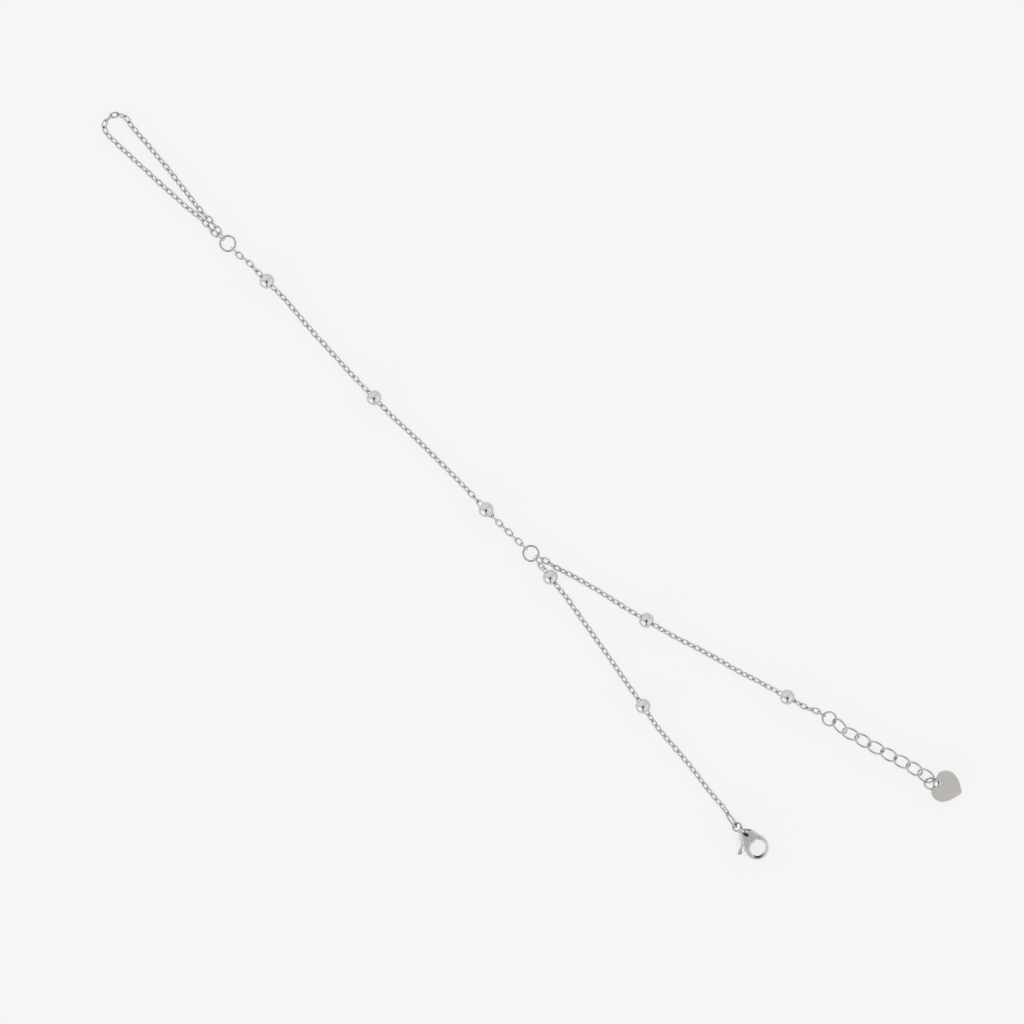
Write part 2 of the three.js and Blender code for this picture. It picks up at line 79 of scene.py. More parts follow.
# start and end: ring, compass angle on it, how far the lying part stays back, how far the end link sits out, its lead, its roll on the ring
# turns: the roll of the links against the even 45 degree lie, as (share of the chain's length, degrees)
# settle: over how many links either end turns from the way it hangs on its ring to that lie, and how many keep to it at the end
CHAINS = {
    "finger_loop_chain": dict(
        start=("finger_ring", 100, 1.4, 0.45, 97),
        end=("finger_ring", 80, 1.4, 0.45, 84),
        way=[(-0.42, 89.6), (-0.38, 92.0), (-0.83, 95.87), (-1.34, 103.65), (-1.66, 109.6), (-1.92, 115.0), (-1.84, 117.2),
             (-1.0, 118.48), (0.1, 118.82), (1.42, 118.6), (2.45, 117.65), (2.88, 116.5), (2.6, 114.6), (2.27, 110.0), (1.8, 103.64),
             (1.25, 98.5), (0.7, 93.3), (0.66, 89.6)],
        turns=[(0.0, 0), (0.12, 6), (0.25, -8), (0.42, 3), (0.46, 10), (0.5, -22), (0.54, -12), (0.6, -4), (0.8, 8), (1.0, 0)],
        settle=(5, 6),
    ),
    "hand_chain": dict(
        start=("finger_ring", -90.5, 1.0, 0.45),
        end=("wrist_ring", 91.6, 1.0, 0.45),
        way=[(0.26, 80.2), "hand_ball_1", (0.26, 68.8), (-0.18, 61.81), (-0.48, 53.97), (-0.63, 48.9), "hand_ball_2", (-0.65, 37.7),
             (-0.42, 32.29), (-0.25, 24.45), (-0.21, 17.8), "hand_ball_3", (-0.2, 6.8)],
        turns=[(0.0, 0), (0.2, -5), (0.3, 9), (0.45, -8), (0.6, 3), (0.72, -10), (0.9, 5), (1.0, 0)],
        settle=(9, 13, 8),
    ),
    "clasp_side_chain": dict(
        start=("wrist_ring", -99, 1.0, 0.45, -92),
        end=("clasp_ring", 82, 1.1, 0.36, 82, 36),
        way=["clasp_side_ball_1", (-1.18, -11.4), (-2.22, -18.36), (-3.17, -24.55), (-4.3, -31.2), "clasp_side_ball_2", (-5.96, -42.2),
             (-6.74, -50.72), (-7.5, -57.4)],
        turns=[(0.0, 0), (0.2, 8), (0.4, -7), (0.55, 5), (0.75, -9), (0.9, 5), (1.0, 0)],
        settle=(2, 4),
    ),
    "extender_side_chain": dict(
        start=("wrist_ring", -69, 1.0, 0.45, -72),
        end=("extender_ring", 104.6, 1.0, 0.42),
        way=[(1.48, -4.9), (2.22, -7.3), (3.06, -9.9), (4.4, -14.8), (5.6, -19.9), "extender_side_ball_1", (8.52, -30.4), (11.14, -38.65),
             (12.86, -44.69), (14.62, -50.0), "extender_side_ball_2", (17.75, -60.0)],
        turns=[(0.0, 0), (0.15, -5), (0.35, 7), (0.5, -8), (0.7, 4), (0.85, -7), (1.0, 0)],
        settle=(4, 5),
    ),
}

EXTENDER_WIRE = 0.4
EXTENDER_LENGTH = 3.75
EXTENDER_WIDTH = 3.0
CROSSINGS = [
    (19.63, -65.15, 1.12, 0), (19.57, -67.77, 1.12, -44), (20.5, -70.3, 1.04, 40), (21.24, -73.06, 1.0, -37), (22.12, -75.82, 1.0, 38),
    (23.0, -78.58, 1.0, -38), (23.85, -81.36, 1.0, 37), (24.58, -83.98, 1.0, -36), (25.12, -86.5, 1.0, 34),
]

HEART = dict(x=25.125, y=-87.33, z=1.55, heading=-64.4, pitch=11.7, roll=8)
HEART_LENGTH = 5.85
HEART_HALF_WIDTH = 3.145
HEART_THICKNESS = 0.7
HEART_EDGE = 0.11
HEART_HOLE = 1.3
HEART_HOLE_AT = 0.72
HEART_TAB = 0.2

CLASP = dict(x=-8.58, y=-66.54, heading=-88.66)
CLASP_THICKNESS = 2.3
# the clasp seen from above with its lever shut, u along it from the eye and v across it
CLASP_RIM = [
    (0.72, 0.62), (1.0, 0.66), (1.32, 0.84), (1.77, 1.2), (2.22, 1.53), (2.7, 1.75), (3.2, 1.86), (3.65, 1.9), (4.13, 2.06), (4.78, 2.22),
    (5.53, 2.26), (6.3, 2.08), (7.03, 1.62), (7.62, 0.94), (7.91, 0.1), (7.9, -0.7), (7.6, -1.42), (7.08, -2.01), (6.4, -2.43),
    (5.6, -2.6), (4.85, -2.52), (4.0, -2.19), (2.78, -1.49), (1.46, -0.72), (0.72, -0.7),
]
CLASP_HOLE = [
    (4.38, 0.86), (4.35, 0.3), (4.34, -0.2), (4.43, -0.67), (4.71, -1.18), (5.24, -1.58), (6.0, -1.67), (6.69, -1.35), (7.09, -0.76),
    (7.16, 0.0), (7.06, 0.7), (6.69, 1.21), (6.08, 1.46), (5.4, 1.45), (4.8, 1.22),
]
# what the lever fills between the body's side and the hook's tip, and what the body leaves free for it
GATE_PART = [
    (1.26, 0.6), (1.6, 0.57), (2.18, 0.57), (2.83, 0.64), (3.49, 0.72), (4.1, 0.81), (4.41, 0.86), (3.2, 2.243), (2.0, 2.7), (0.7, 1.5),
    (1.14, 0.8),
]
GATE_ROOM = [
    (1.02, 0.545), (1.15, 0.5), (1.75, 0.38), (2.4, 0.26), (3.05, 0.14), (3.7, -0.02), (4.6, -0.2), (4.6, 0.79), (3.3, 2.325), (2.0, 3.0),
    (0.3, 1.7), (0.86, 0.74),
]
LEVER_OUTLINE = [
    (1.24, 0.76), (1.77, 1.18), (2.22, 1.5), (2.7, 1.72), (3.2, 1.82), (3.55, 1.79), (4.24, 1.02), (4.36, 0.86), (4.34, -0.35),
    (4.0, -0.85), (3.5, -1.4), (3.4, -2.0), (3.75, -2.62), (4.2, -2.8), (4.31, -3.28), (3.89, -3.78), (3.5, -3.1), (3.0, -2.68),
    (2.44, -2.36), (1.8, -1.76), (1.48, -1.2), (1.32, -0.66), (1.26, -0.2), (1.22, 0.25),
]
KNOB_OUTLINE = [(3.6, -2.72), (4.2, -2.8), (4.31, -3.28), (3.89, -3.78), (3.46, -3.06)]
SLOT = (1.12, 4.46)
SLOT_TOP = 0.9
LEVER_THICKNESS = 1.5
LEVER_SIDE_GAP = 0.08
KNOB_THICKNESS = 1.9
GATE_THICKNESS = 2.14
PIVOT = (1.85, -0.3)
PIN_RADIUS = 0.26
PIN_GAP = 0.07

UP = Vector((0, 0, 1))


def compass(degrees):
    a = math.radians(degrees)
    return Vector((math.cos(a), math.sin(a), 0.0))


def frame_matrix(origin, along, across):
    x = along.normalized()
    z = x.cross(across).normalized()
    y = z.cross(x)
    m = Matrix.Identity(4)
    for i, v in enumerate((x, y, z)):
        for k in range(3):
            m[k][i] = v[k]
    m.translation = origin
    return m


# ---------------------------------------------------------------- mesh helpers


def to_world(points):
    """Layout millimetres to metres in the row frame."""
    return (np.asarray(points, float) + np.array(SHIFT)) * MM


def new_object(name, points, faces, smooth=True):
    mesh = bpy.data.meshes.new(name)
    mesh.from_pydata([tuple(p) for p in points], [], faces)
    mesh.update()
    if smooth:
        mesh.polygons.foreach_set("use_smooth", [True] * len(mesh.polygons))
    obj = bpy.data.objects.new(name, mesh)
    bpy.context.scene.collection.objects.link(obj)
    return obj


def transformed(points, matrix):
    m = np.array(matrix)
    return points @ m[:3, :3].T + m[:3, 3]


def power(value, exponent):
    return np.sign(value) * np.abs(value) ** exponent


def oval_wire(length, width, wire, fullness, sides, steps):
    """A closed loop of round wire on an oval centre line in the XY plane: points and quads."""
    a, b, r = (length - wire) / 2, (width - wire) / 2, wire / 2
    t = np.arange(steps) / steps * 2 * math.pi
    fine = np.linspace(0, 2 * math.pi, 2001)
    fx, fy = a * power(np.cos(fine), 2 / fullness), b * power(np.sin(fine), 2 / fullness)
    run = np.concatenate([[0], np.cumsum(np.hypot(np.diff(fx), np.diff(fy)))])
    t = np.interp(np.arange(steps) / steps * run[-1], run, fine)
    x, y = a * power(np.cos(t), 2 / fullness), b * power(np.sin(t), 2 / fullness)
    nx, ny = power(np.cos(t), 2 - 2 / fullness) / a, power(np.sin(t), 2 - 2 / fullness) / b
    n = np.hypot(nx, ny)
    nx, ny = nx / n, ny / n
    f = np.arange(sides) / sides * 2 * math.pi
    px = x[:, None] + r * np.cos(f)[None] * nx[:, None]
    py = y[:, None] + r * np.cos(f)[None] * ny[:, None]
    pz = np.broadcast_to(r * np.sin(f)[None], px.shape)
    points = np.stack([px, py, pz], -1).reshape(-1, 3)
    faces = []
    for i in range(steps):
        for j in range(sides):
            k, m = (i + 1) % steps, (j + 1) % sides
            faces.append((i * sides + j, k * sides + j, k * sides + m, i * sides + m))
    return points, faces


def joined(parts):
    points, faces, base = [], [], 0
    for p, f in parts:
        points.append(p)
        faces.extend(tuple(i + base for i in q) for q in f)
        base += len(p)
    return np.concatenate(points), faces


# ---------------------------------------------------------------- rings


def ring_matrix(ring):
    toward = compass(ring["toward"])
    lean = math.radians(ring["lean"])
    up = toward * math.cos(lean) + UP * math.sin(lean)
    return frame_matrix(Vector((ring["x"], ring["y"], ring["z"])), up, UP.cross(toward))


def jump_ring(ring, sides=24, steps=132, gap=0.035):
    """Round wire bent to a ring, with the fine slit where its sawn ends meet."""
    R, r = (ring["outer"] - ring["wire"]) / 2, ring["wire"] / 2
    seam = math.radians(ring["seam"])
    half = gap / 2 / R
    cut = 0.035 / R
    stations = [(half, 0.86), (half + cut, 1.0)]
    stations += [(half + cut + (2 * math.pi - 2 * half - 2 * cut) * i / steps, 1.0) for i in range(1, steps)]
    stations += [(2 * math.pi - half - cut, 1.0), (2 * math.pi - half, 0.86)]
    points, faces = [], []
    for angle, scale in stations:
        a = angle + seam
        for j in range(sides):
            f = j / sides * 2 * math.pi
            rho = R + r * scale * math.cos(f)
            points.append((rho * math.cos(a), rho * math.sin(a), r * scale * math.sin(f)))
    n = len(stations)
    for i in range(n - 1):
        for j in range(sides):
            m = (j + 1) % sides
            faces.append((i * sides + j, (i + 1) * sides + j, (i + 1) * sides + m, i * sides + m))
    faces.append(tuple(range(sides)))
    faces.append(tuple((n - 1) * sides + j for j in reversed(range(sides))))
    return transformed(np.array(points), ring_matrix(ring)), faces


def wire_of(ring, at):
    matrix = ring_matrix(ring)
    radius = (ring["outer"] - ring["wire"]) / 2
    way = compass(at)
    centre = Vector((ring["x"], ring["y"], ring["z"]))
    best = None
    for k in range(720):
        a = math.radians(k / 2)
        tangent = (matrix.to_3x3() @ Vector((-math.sin(a), math.cos(a), 0))).normalized()
        point = matrix @ Vector((radius * math.cos(a), radius * math.sin(a), 0))
        out = point - centre
        out.z = 0
        if ring["lean"] > 60:
            miss = abs(point.z - ring["catch"]) + (0 if out.dot(way) > 0 else 9)
        else:
            miss = out.angle(way) if out.length > 1e-9 else 9
        if best is None or miss < best[0]:
            best = (miss, point, tangent)
    return best[1], best[2]


# ---------------------------------------------------------------- fine chains


def knots_of(chain):
    ends = []
    for name, at, back, out, *lead in (chain["start"], chain["end"]):
        point, tangent = wire_of(RINGS[name], at)
        roll = lead[1] if len(lead) > 1 else 0
        ends.append(dict(point=point, tangent=tangent, way=compass(lead[0] if lead else at), back=back, out=out, roll=roll))

    def end_point(end, distance):
        p = end["point"] + end["way"] * distance
        return Vector((p.x, p.y, CHAIN_REST_Z))

    knots = [end_point(ends[0], ends[0]["back"]), end_point(ends[0], ends[0]["back"] + 0.7)]
    for row in chain["way"]:
        if not isinstance(row, str):
            knots.append(Vector((row[0], row[1], CHAIN_REST_Z)))
            continue
        x, y, heading = BALLS[row]
        middle, way = Vector((x, y, BALL_DIAMETER / 2)), compass(heading)
        gap = middle - knots[-1]
        gap.z = 0
        if gap.length - BALL_STRAIGHT > BALL_SLOPE * 1.3:
            p = middle - way * (BALL_STRAIGHT + BALL_SLOPE)
            knots.append(Vector((p.x, p.y, CHAIN_REST_Z)))
        for s in (-BALL_STRAIGHT, 0, BALL_STRAIGHT):
            knots.append(middle + way * s)
        p = middle + way * (BALL_STRAIGHT + BALL_SLOPE)
        knots.append(Vector((p.x, p.y, CHAIN_REST_Z)))
    knots += [end_point(ends[1], ends[1]["back"] + 0.7), end_point(ends[1], ends[1]["back"])]
    kept = []
    for i, knot in enumerate(knots):
        fixed = i < 2 or i > len(knots) - 3 or knot.z > CHAIN_REST_Z + 0.2
        if not fixed and kept and (kept[-1] - knot).length < 1.2:
            continue
        kept.append(knot)
    return ends, kept


def smooth_path(knots, per=24):
    """Centripetal Catmull-Rom through the knots; level stretches stay level."""
    out = []
    for i in range(len(knots) - 1):
        p1, p2 = knots[i], knots[i + 1]
        p0 = knots[i - 1] if i else p1 * 2 - p2
        p3 = knots[i + 2] if i + 2 < len(knots) else p2 * 2 - p1
        d0, d1, d2 = (max((b - a).length, 1e-6) ** 0.5 for a, b in ((p0, p1), (p1, p2), (p2, p3)))
        t1 = ((p1 - p0) / d0 - (p2 - p0) / (d0 + d1) + (p2 - p1) / d1) * d1
        t2 = ((p2 - p1) / d1 - (p3 - p1) / (d1 + d2) + (p3 - p2) / d2) * d1
        c2 = p1 * -3 + p2 * 3 - t1 * 2 - t2
        c3 = p1 * 2 - p2 * 2 + t1 + t2
        level = abs(p1.z - p2.z) < 0.01
        for k in range(per):
            t = k / per
            p = p1 + t1 * t + c2 * t * t + c3 * t * t * t
            if level:
                p.z = p1.z
            out.append(p)
    out.append(knots[-1].copy())
    return out


def chain_links(chain, seed):
    """The chain's links from ring to ring: a frame for each, every link turned about a quarter turn from the last."""
    rng = random.Random(seed)
    ends, knots = knots_of(chain)
    line = [ends[0]["point"].copy()] + smooth_path(knots) + [ends[1]["point"].copy()]
    line = np.array([tuple(p) for p in line])
    run = np.concatenate([[0], np.cumsum(np.linalg.norm(np.diff(line, axis=0), axis=1))])
    total = run[-1]
    first, last = ends[0]["out"], total - ends[1]["out"]
    count = int(round((last - first) / CHAIN_PITCH)) + 1
    where = np.linspace(first, last, count)

    def at(s):
        return Vector([float(np.interp(s, run, line[:, k])) for k in range(3)])

    def roll_of(along, across):
        side = UP.cross(along).normalized()
        over = along.cross(side)
        return math.degrees(math.atan2(across.dot(over), across.dot(side)))

    frames = []
    for k, s in enumerate(where):
        a, b = at(max(s - 0.67, 0)), at(min(s + 0.67, total))
        frames.append([at(s), (b - a).normalized()])
    frames[0] = [ends[0]["point"] + ends[0]["way"] * ends[0]["out"], ends[0]["way"].copy()]
    frames[-1] = [ends[1]["point"] + ends[1]["way"] * ends[1]["out"], -ends[1]["way"]]
    for i, end in ((0, ends[0]), (-1, ends[1])):
        frames[i][0].z = max(CHAIN_REST_Z, end["point"].z)
    r0 = roll_of(frames[0][1], frames[0][1].cross(ends[0]["tangent"]))
    r1 = roll_of(frames[-1][1], frames[-1][1].cross(ends[1]["tangent"])) + ends[1]["roll"]
    drift = (r1 - r0 - 90 * (count - 1) + 90) % 180 - 90  # what the free turns add up to
    lie0 = (45 - r0 + 45) % 90 - 45
    lie1 = (45 - (r0 + drift) + 45) % 90 - 45 + drift
    near, far, held = (*chain["settle"], 0)[:3]
    xs = [0, near, count - 1 - far, count - 1 - held, count]
    turns = chain["turns"]
    out = []
    for k, (centre, along) in enumerate(frames):
        base = float(np.interp(k, xs, [0, lie0, lie1, drift, drift]))
        extra = float(np.interp(k / (count - 1), [t[0] for t in turns], [t[1] for t in turns]))
        fade = min(1.0, k / 4, (count - 1 - k) / 4)
        roll = r0 + 90 * k + base + (extra + rng.uniform(-4.5, 4.5)) * fade
        out.append([centre, along, roll, fade])
    half = (CHAIN_WIDTH - CHAIN_WIRE) / 2
    need = [half * abs(math.sin(math.radians(r))) + CHAIN_WIRE / 2 + 0.012 for _, _, r, _ in out]
    links = []
    for k, (centre, along, roll, fade) in enumerate(out):
        low = max(need[max(k - 1, 0) : k + 2])
        lift = centre.z - CHAIN_REST_Z
        centre = centre.copy()
        if 0 < k < count - 1:
            drop = (CHAIN_REST_Z - low) * max(0.35, 1 - lift / 0.85)
            centre.z -= drop
            side = UP.cross(along).normalized()
            centre += side * rng.uniform(-0.03, 0.03)
            along = (along + side * rng.uniform(-0.03, 0.03)).normalized()
        side = UP.cross(along).normalized()
        over = along.cross(side)
        a = math.radians(roll)
        links.append(frame_matrix(centre, along, side * math.cos(a) + over * math.sin(a)))
    return links


def fine_chain(name, chain, seed):
    points, faces = oval_wire(CHAIN_LINK_LENGTH, CHAIN_WIDTH, CHAIN_WIRE, 2.3, 12, 36)
    parts = [(transformed(points, m), faces) for m in chain_links(chain, seed)]
    p, f = joined(parts)
    return new_object(name, to_world(p), f)


# ---------------------------------------------------------------- balls


def ball(name, x, y, heading):
    """A drilled ball with its bore's edge rolled in."""
    R, r, lip = BALL_DIAMETER / 2, BALL_BORE / 2, 0.09
    profile = []
    edge = math.acos((r + lip * 0.9) / R)
    for i in range(41):
        t = -edge + 2 * edge * i / 40
        profile.append((R * math.cos(t), R * math.sin(t)))
    top = profile[-1][1]
    for k in range(1, 6):
        a = math.radians(18 * k)
        profile.append((r + lip * 0.9 * (1 - math.sin(a)), top - lip * 0.9 * (1 - math.cos(a)) * 0.9))
    low_top = profile[-1][1]
    for k in range(1, 8):
        profile.append((r, low_top - 2 * low_top * k / 8))
    for k in range(5, 0, -1):
        a = math.radians(18 * k)
        profile.append((r + lip * 0.9 * (1 - math.sin(a)), -top + lip * 0.9 * (1 - math.cos(a)) * 0.9))
    n, around = len(profile), 84
    axis = compass(heading)
    side = UP.cross(axis)
    points, faces = [], []
    for j in range(around):
        a = 2 * math.pi * j / around
        for rho, h in profile:
            p = Vector((x, y, R)) + axis * h + side * (rho * math.cos(a)) + UP * (rho * math.sin(a))
            points.append(tuple(p))
    for j in range(around):
        k = (j + 1) % around
        for i in range(n):
            m = (i + 1) % n
            faces.append((j * n + i, k * n + i, k * n + m, j * n + m))
    obj = new_object(name, to_world(points), faces)
    face_out(obj)
    return obj


def face_out(obj):
    bm = bmesh.new()
    bm.from_mesh(obj.data)
    bmesh.ops.recalc_face_normals(bm, faces=bm.faces)
    bm.to_mesh(obj.data)
    bm.free()
    obj.data.update()


# ---------------------------------------------------------------- plates cut from outlines


def closed_spline(outline, per=6, tension=0.5):
    """A smooth closed line through the outline's points."""
    pts = [Vector((u, v, 0)) for u, v in outline]
    n = len(pts)
    out = []
    for i in range(n):
        p0, p1, p2, p3 = pts[i - 1], pts[i], pts[(i + 1) % n], pts[(i + 2) % n]
        d0, d1, d2 = (max((b - a).length, 1e-6) ** tension for a, b in ((p0, p1), (p1, p2), (p2, p3)))
        t1 = ((p1 - p0) / d0 - (p2 - p0) / (d0 + d1) + (p2 - p1) / d1) * d1
        t2 = ((p2 - p1) / d1 - (p3 - p1) / (d1 + d2) + (p3 - p2) / d2) * d1
        c2 = p1 * -3 + p2 * 3 - t1 * 2 - t2
        c3 = p1 * 2 - p2 * 2 + t1 + t2
        for k in range(per):
            t = k / per
            p = p1 + t1 * t + c2 * t * t + c3 * t * t * t
            out.append((p.x, p.y))
    return out


def area_of(poly):
    return sum(a[0] * b[1] - b[0] * a[1] for a, b in zip(poly, poly[1:] + poly[:1])) / 2


def plate(name, outlines, thickness, edge, rounds=5):
    """A flat plate between -thickness/2 and thickness/2, with rounded rims. The first outline is the rim, the others are holes."""
    data = bpy.data.curves.new(name, "CURVE")
    data.dimensions = "2D"
    data.fill_mode = "BOTH"
    data.extrude = thickness / 2 - edge
    data.bevel_depth = edge
    data.bevel_resolution = rounds
    data.offset = -edge
    for i, outline in enumerate(outlines):
        poly = list(outline)
        if (area_of(poly) > 0) == bool(i):
            poly.reverse()
        s = data.splines.new("POLY")
        s.points.add(len(poly) - 1)
        for point, (u, v) in zip(s.points, poly):
            point.co = (u, v, 0, 1)
        s.use_cyclic_u = True
    curve = bpy.data.objects.new(name + "_curve", data)
    bpy.context.scene.collection.objects.link(curve)
    dg = bpy.context.evaluated_depsgraph_get()
    mesh = bpy.data.meshes.new_from_object(curve.evaluated_get(dg))
    bpy.data.objects.remove(curve)
    obj = bpy.data.objects.new(name, mesh)
    bpy.context.scene.collection.objects.link(obj)
    bm = bmesh.new()
    bm.from_mesh(mesh)
    bmesh.ops.remove_doubles(bm, verts=bm.verts, dist=1e-4)
    bmesh.ops.recalc_face_normals(bm, faces=bm.faces)
    bm.to_mesh(mesh)
    bm.free()
    return obj


def lathe_ring(name, radius, half_width, half_height, at, around=64, sides=28):
    points, faces = [], []
    for i in range(around):
        a = 2 * math.pi * i / around
        for j in range(sides):
            f = 2 * math.pi * j / sides
            rho = radius + half_width * power(np.cos(f), 0.85)
            points.append((at[0] + rho * math.cos(a), at[1] + rho * math.sin(a), half_height * float(power(np.sin(f), 0.85))))
    for i in range(around):
        for j in range(sides):
            k, m = (i + 1) % around, (j + 1) % sides
            faces.append((i * sides + j, k * sides + j, k * sides + m, i * sides + m))
    obj = new_object(name, points, faces)
    face_out(obj)
    return obj


def rod(name, radius, height, at, around=48):
    mesh = bpy.data.meshes.new(name)
    bm = bmesh.new()
    bmesh.ops.create_cone(bm, cap_ends=True, segments=around, radius1=radius, radius2=radius, depth=height)
    bmesh.ops.translate(bm, vec=(at[0], at[1], at[2] if len(at) > 2 else 0), verts=bm.verts)
    bm.to_mesh(mesh)
    bm.free()
    obj = bpy.data.objects.new(name, mesh)
    bpy.context.scene.collection.objects.link(obj)
    return obj


def block(name, low, high):
    mesh = bpy.data.meshes.new(name)
    bm = bmesh.new()
    bmesh.ops.create_cube(bm, size=1)
    size = Vector(high) - Vector(low)
    bmesh.ops.scale(bm, vec=size, verts=bm.verts)
    bmesh.ops.translate(bm, vec=(Vector(high) + Vector(low)) / 2, verts=bm.verts)
    bm.to_mesh(mesh)
    bm.free()
    obj = bpy.data.objects.new(name, mesh)
    bpy.context.scene.collection.objects.link(obj)
    return obj


def egg(name, centre, radii, turn):
    mesh = bpy.data.meshes.new(name)
    bm = bmesh.new()
    bmesh.ops.create_uvsphere(bm, u_segments=40, v_segments=24, radius=1)
    bmesh.ops.scale(bm, vec=radii, verts=bm.verts)
    bmesh.ops.rotate(bm, cent=(0, 0, 0), matrix=Matrix.Rotation(math.radians(turn), 3, "Z"), verts=bm.verts)
    bmesh.ops.translate(bm, vec=centre, verts=bm.verts)
    bm.to_mesh(mesh)
    bm.free()
    obj = bpy.data.objects.new(name, mesh)
    bpy.context.scene.collection.objects.link(obj)
    return obj


def applied(obj):
    dg = bpy.context.evaluated_depsgraph_get()
    mesh = bpy.data.meshes.new_from_object(obj.evaluated_get(dg))
    obj.modifiers.clear()
    obj.data = mesh
    return obj


def fuse(name, objects, voxel, rounds):
    """Joins closed solids to one skin and softens it, as casting and tumbling do."""
    bm = bmesh.new()
    for o in objects:
        bm.from_mesh(o.data)
        bpy.data.objects.remove(o)
    mesh = bpy.data.meshes.new(name)
    bm.to_mesh(mesh)
    bm.free()
    obj = bpy.data.objects.new(name, mesh)
    bpy.context.scene.collection.objects.link(obj)
    return remeshed(obj, voxel, rounds)


def remeshed(obj, voxel, rounds):
    m = obj.modifiers.new("skin", "REMESH")
    m.mode = "VOXEL"
    m.voxel_size = voxel
    m.use_smooth_shade = True
    if rounds:
        s = obj.modifiers.new("soften", "SMOOTH")
        s.factor = 0.5
        s.iterations = rounds
    return applied(obj)


def cut(obj, tool):
    m = obj.modifiers.new("cut", "BOOLEAN")
    m.operation = "DIFFERENCE"
    m.solver = "EXACT"
    m.object = tool
    applied(obj)
    bpy.data.objects.remove(tool)
    return obj


def place(obj, matrix):
    """Turns a mesh made in its own millimetre frame into the row frame, in metres."""
    obj.data.transform(Matrix.Scale(MM, 4) @ Matrix.Translation(SHIFT) @ matrix)
    obj.data.polygons.foreach_set("use_smooth", [True] * len(obj.data.polygons))
    obj.data.update()
    return obj


# ---------------------------------------------------------------- materials


